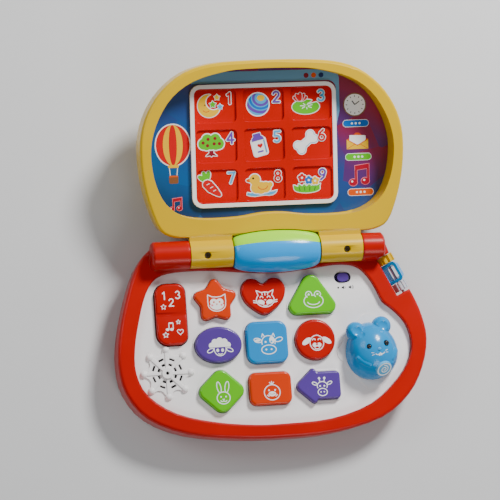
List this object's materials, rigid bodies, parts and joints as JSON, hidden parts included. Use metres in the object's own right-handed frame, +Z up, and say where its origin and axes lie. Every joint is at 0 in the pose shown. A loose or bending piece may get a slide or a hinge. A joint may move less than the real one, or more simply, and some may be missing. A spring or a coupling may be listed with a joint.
{
  "type": "toy laptop computer",
  "caption": "Toddler's toy laptop with a hinged dished lid, light panel, shaped animal keys, rocker, volume slide, sliding mouse and spinning beads.",
  "frame": {"origin": "on the underside of the base, below the middle between the hinge axis and the front edge, in the plane through the middle of the hinge", "axes": "+Z up, +Y from the front edge towards the hinge and the opened lid, +X to the right as the keys are read"},
  "size_m": [0.271, 0.3233, 0.0836],
  "materials": {
    "red_plastic": "smooth moulded red plastic",
    "white_plastic": "satin white plastic",
    "yellow_plastic": "smooth moulded yellow plastic",
    "blue_plastic": "glossy light blue plastic",
    "sky_plastic": "glossy sky blue plastic",
    "lime_plastic": "smooth lime green plastic",
    "green_plastic": "glossy green plastic",
    "orange_plastic": "glossy orange plastic",
    "purple_plastic": "glossy purple plastic",
    "clear_plastic": "frosted clear plastic",
    "panel_plastic": "translucent orange red plastic",
    "black_plastic": "glossy black plastic",
    "label": "printed label with a film over it",
    "steel": "zinc plated steel",
    "board": "printed circuit board",
    "mat": "silicone rubber",
    "cell": "wrapped battery",
    "speaker": "paper cone in a dark frame"
  },
  "bodies": {
    "base": {"base_lower_case": "red_plastic", "base_upper_case": "red_plastic", "deck_plate": "white_plastic", "battery_door": "red_plastic", "battery_door_screw": "steel", "batteries": "cell", "battery_contacts": "steel", "circuit_board": "board", "key_mat": "mat", "speaker_driver": "speaker", "volume_switch_body": "steel", "case_screws": "steel", "pod_front_cover": "blue_plastic", "pod_rear_cover": "lime_plastic", "hinge_pins": "steel", "bead_rod": "steel"},
    "lid": {"lid_front_frame": "yellow_plastic", "lid_back_shell": "yellow_plastic", "screen_label": "label", "panel_border_frame": "white_plastic", "panel_window": "panel_plastic", "light_board": "board", "lid_screws": "steel", "knuckle_screws": "steel"},
    "star_key": {"star_key": "orange_plastic"},
    "heart_key": {"heart_key": "red_plastic"},
    "triangle_key": {"triangle_key": "green_plastic"},
    "ellipse_key": {"ellipse_key": "purple_plastic"},
    "square_key": {"square_key": "sky_plastic"},
    "circle_key": {"circle_key": "red_plastic"},
    "diamond_key": {"diamond_key": "green_plastic"},
    "rectangle_key": {"rectangle_key": "orange_plastic"},
    "arrow_key": {"arrow_key": "purple_plastic"},
    "volume_knob": {"volume_knob": "purple_plastic"},
    "mode_rocker": {"mode_rocker": "red_plastic"},
    "mouse_carriage": {"mouse_carriage": "white_plastic"},
    "mouse": {"mouse_body": "blue_plastic", "mouse_eyes": "black_plastic"},
    "toothed_wheel_bead": {"toothed_wheel_bead": "yellow_plastic"},
    "square_ring_bead": {"square_ring_bead": "blue_plastic"},
    "ribbed_wheel_bead": {"ribbed_wheel_bead": "clear_plastic"}
  },
  "joints": [
    {"name": "lid_hinge", "type": "hinge", "parent": "base", "child": "lid", "pos_m": [0, 0.08, 0.038], "axis": [1, 0, 0], "range_deg": [0, 165]},
    {"name": "star_key_press", "type": "slide", "parent": "base", "child": "star_key", "axis": [0, 0, -1], "range_m": [0, 0.0016], "stiffness_N_per_m": 400, "springref_m": -0.002},
    {"name": "heart_key_press", "type": "slide", "parent": "base", "child": "heart_key", "axis": [0, 0, -1], "range_m": [0, 0.0016], "stiffness_N_per_m": 400, "springref_m": -0.002},
    {"name": "triangle_key_press", "type": "slide", "parent": "base", "child": "triangle_key", "axis": [0, 0, -1], "range_m": [0, 0.0016], "stiffness_N_per_m": 400, "springref_m": -0.002},
    {"name": "ellipse_key_press", "type": "slide", "parent": "base", "child": "ellipse_key", "axis": [0, 0, -1], "range_m": [0, 0.0016], "stiffness_N_per_m": 400, "springref_m": -0.002},
    {"name": "square_key_press", "type": "slide", "parent": "base", "child": "square_key", "axis": [0, 0, -1], "range_m": [0, 0.0016], "stiffness_N_per_m": 400, "springref_m": -0.002},
    {"name": "circle_key_press", "type": "slide", "parent": "base", "child": "circle_key", "axis": [0, 0, -1], "range_m": [0, 0.0016], "stiffness_N_per_m": 400, "springref_m": -0.002},
    {"name": "diamond_key_press", "type": "slide", "parent": "base", "child": "diamond_key", "axis": [0, 0, -1], "range_m": [0, 0.0016], "stiffness_N_per_m": 400, "springref_m": -0.002},
    {"name": "rectangle_key_press", "type": "slide", "parent": "base", "child": "rectangle_key", "axis": [0, 0, -1], "range_m": [0, 0.0016], "stiffness_N_per_m": 400, "springref_m": -0.002},
    {"name": "arrow_key_press", "type": "slide", "parent": "base", "child": "arrow_key", "axis": [0, 0, -1], "range_m": [0, 0.0016], "stiffness_N_per_m": 400, "springref_m": -0.002},
    {"name": "mode_rocker_tilt", "type": "hinge", "parent": "base", "child": "mode_rocker", "pos_m": [-0.0945, 0.0305, 0.0224], "axis": [1, 0, 0], "range_deg": [-3, 3], "stiffness_Nm_per_rad": 0.5},
    {"name": "volume_slide", "type": "slide", "parent": "base", "child": "volume_knob", "axis": [1, 0, 0], "range_m": [-0.002, 0.002]},
    {"name": "mouse_slide_across", "type": "slide", "parent": "base", "child": "mouse_carriage", "axis": [1, 0, 0], "range_m": [-0.004, 0.004], "stiffness_N_per_m": 200},
    {"name": "mouse_slide_along", "type": "slide", "parent": "mouse_carriage", "child": "mouse", "axis": [0, 1, 0], "range_m": [-0.004, 0.004], "stiffness_N_per_m": 200},
    {"name": "toothed_wheel_bead_spin", "type": "hinge", "parent": "base", "child": "toothed_wheel_bead", "pos_m": [0.1, 0.075, 0.017], "axis": [0.4315, -0.9021, 0], "continuous": true},
    {"name": "square_ring_bead_spin", "type": "hinge", "parent": "base", "child": "square_ring_bead", "pos_m": [0.1, 0.075, 0.017], "axis": [0.4315, -0.9021, 0], "continuous": true},
    {"name": "ribbed_wheel_bead_spin", "type": "hinge", "parent": "base", "child": "ribbed_wheel_bead", "pos_m": [0.1, 0.075, 0.017], "axis": [0.4315, -0.9021, 0], "continuous": true}
  ]
}
